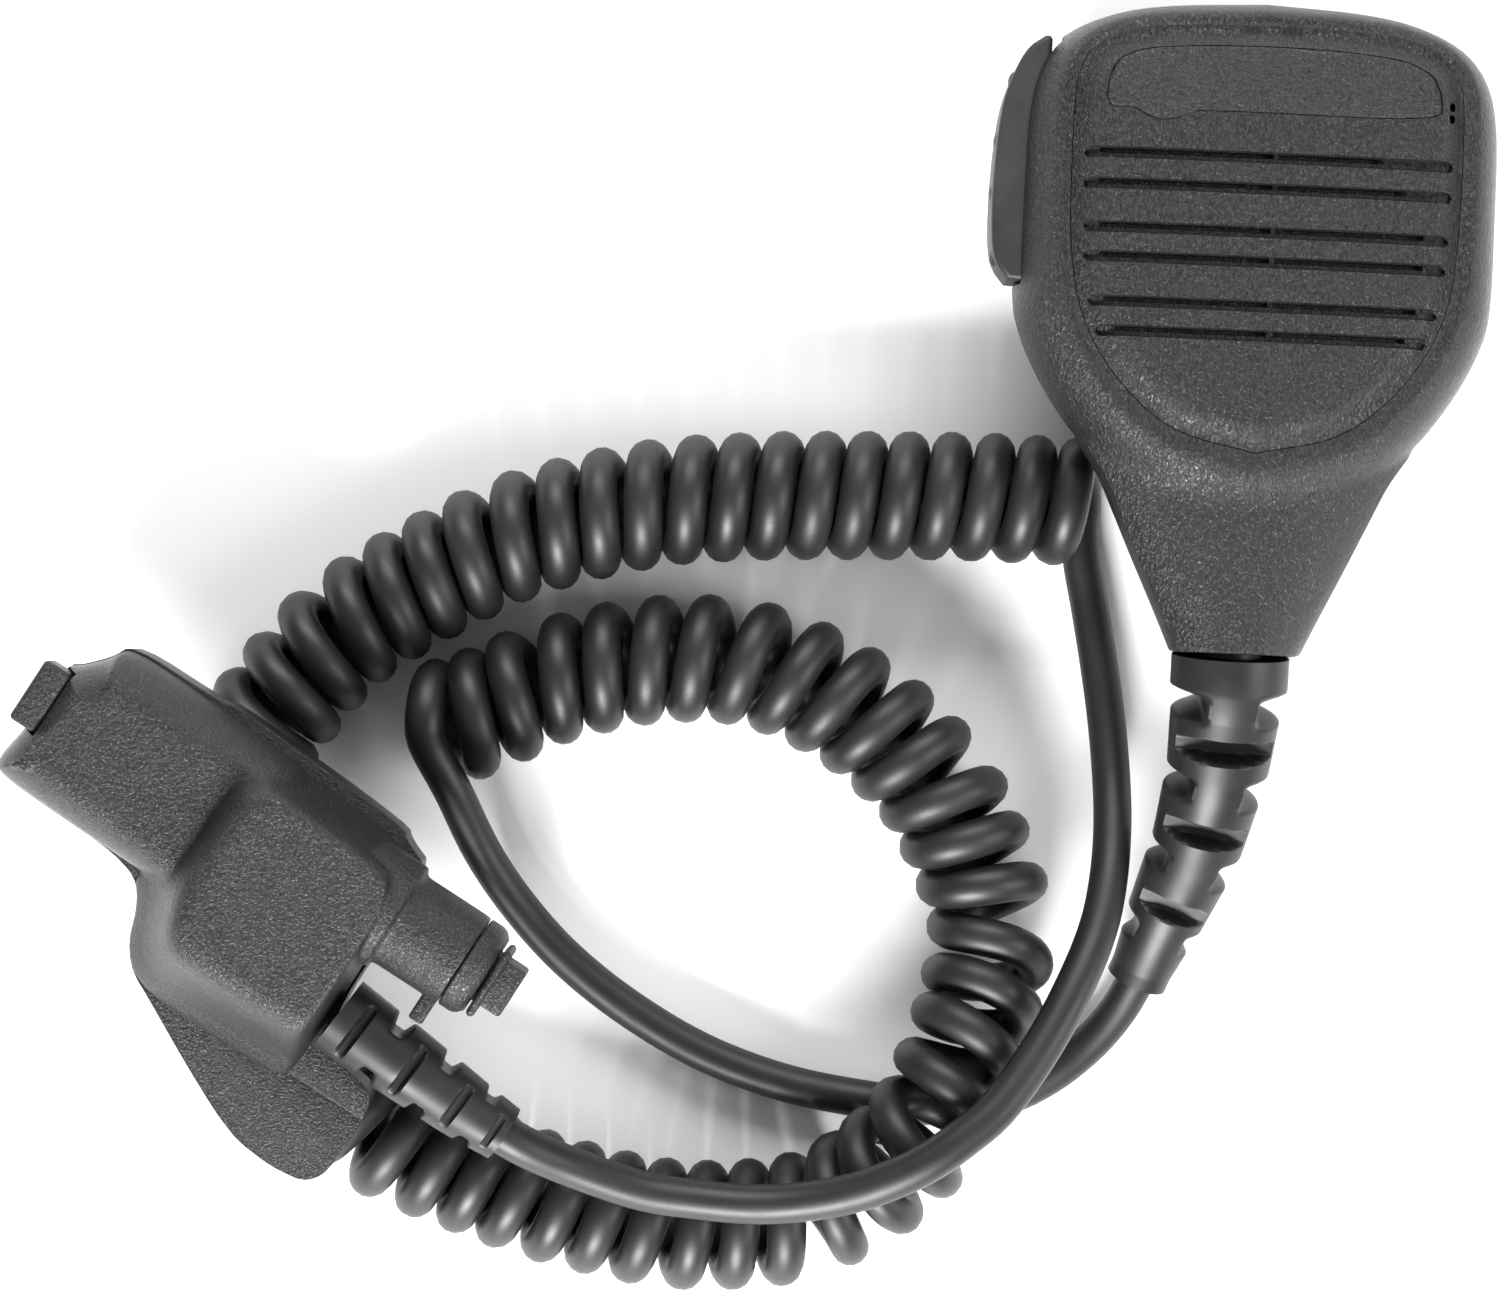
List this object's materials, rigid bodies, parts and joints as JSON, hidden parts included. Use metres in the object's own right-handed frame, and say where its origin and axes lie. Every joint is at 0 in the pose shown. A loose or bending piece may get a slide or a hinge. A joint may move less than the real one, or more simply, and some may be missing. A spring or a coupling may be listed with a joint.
{
  "type": "hand microphone",
  "caption": "Hand-held speaker microphone with a talk key on its side, a swivelling belt clip, a coiled cord and a side connector for a portable radio.",
  "frame": {"origin": "on the resting face of the belt clip, on the clip's swivel axis", "axes": "+X to the right of the grille, +Y to the top of the head, +Z out of the grille"},
  "size_m": [0.1896, 0.1721, 0.0395],
  "materials": {
    "black_textured_plastic": "fine pebbled black plastic with a satin sheen",
    "key_rubber": "matt black moulded rubber",
    "cord_jacket": "satin black cord jacket",
    "boot_rubber": "satin black flexible strain relief",
    "bright_steel": "plated steel",
    "gold_contacts": "gold-coloured contacts in their carrier",
    "circuit_board": "green circuit board",
    "cone_paper": "black pulp loudspeaker cone",
    "dust_felt": "thin black acoustic felt"
  },
  "bodies": {
    "microphone": {"circuit_board": "circuit_board", "clip_screw": "bright_steel", "clip_washer": "bright_steel", "cord_clamp": "black_textured_plastic", "cord_coil": "cord_jacket", "cord_mic_tail": "cord_jacket", "cord_plug_tail": "cord_jacket", "front_housing": "black_textured_plastic", "grille_panel": "black_textured_plastic", "housing_screw_1": "bright_steel", "housing_screw_2": "bright_steel", "housing_screw_3": "bright_steel", "housing_screw_4": "bright_steel", "label_plate": "black_textured_plastic", "mic_capsule": "bright_steel", "mic_capsule_holder": "key_rubber", "mic_strain_relief": "boot_rubber", "plug_circuit_board": "circuit_board", "plug_contact_block": "gold_contacts", "plug_end_cap": "black_textured_plastic", "plug_hook": "black_textured_plastic", "plug_latch_flange": "black_textured_plastic", "plug_lower_shell": "black_textured_plastic", "plug_release_spring": "bright_steel", "plug_screw_1": "bright_steel", "plug_screw_2": "bright_steel", "plug_seal": "key_rubber", "plug_strain_relief": "boot_rubber", "plug_upper_shell": "black_textured_plastic", "ptt_seal": "key_rubber", "ptt_switch": "black_textured_plastic", "rear_housing": "black_textured_plastic", "speaker_cone": "cone_paper", "speaker_felt": "dust_felt", "speaker_frame": "bright_steel", "speaker_gasket": "dust_felt", "speaker_magnet": "bright_steel"},
    "talk_key": {"ptt_button": "key_rubber", "ptt_plunger": "key_rubber"},
    "clip_base": {"clip_base": "black_textured_plastic", "clip_pin": "bright_steel", "clip_spring": "bright_steel"},
    "clip_arm": {"clip_arm": "black_textured_plastic"},
    "plug_button": {"plug_release_button": "black_textured_plastic"}
  },
  "joints": [
    {"name": "talk_key_press", "type": "slide", "parent": "microphone", "child": "talk_key", "axis": [1, 0, 0], "range_m": [0, 0.0013], "stiffness_N_per_m": 900},
    {"name": "clip_swivel", "type": "hinge", "parent": "microphone", "child": "clip_base", "pos_m": [0, 0, 0.0084], "axis": [0, 0, 1], "continuous": true},
    {"name": "clip_open", "type": "hinge", "parent": "clip_base", "child": "clip_arm", "pos_m": [0, 0.0115, 0.0052], "axis": [1, 0, 0], "range_deg": [0, 16], "stiffness_Nm_per_rad": 0.12, "springref_deg": -28.65},
    {"name": "plug_release_press", "type": "slide", "parent": "microphone", "child": "plug_button", "axis": [-0.8625, 0.506, 0], "range_m": [0, 0.0012], "stiffness_N_per_m": 600}
  ]
}
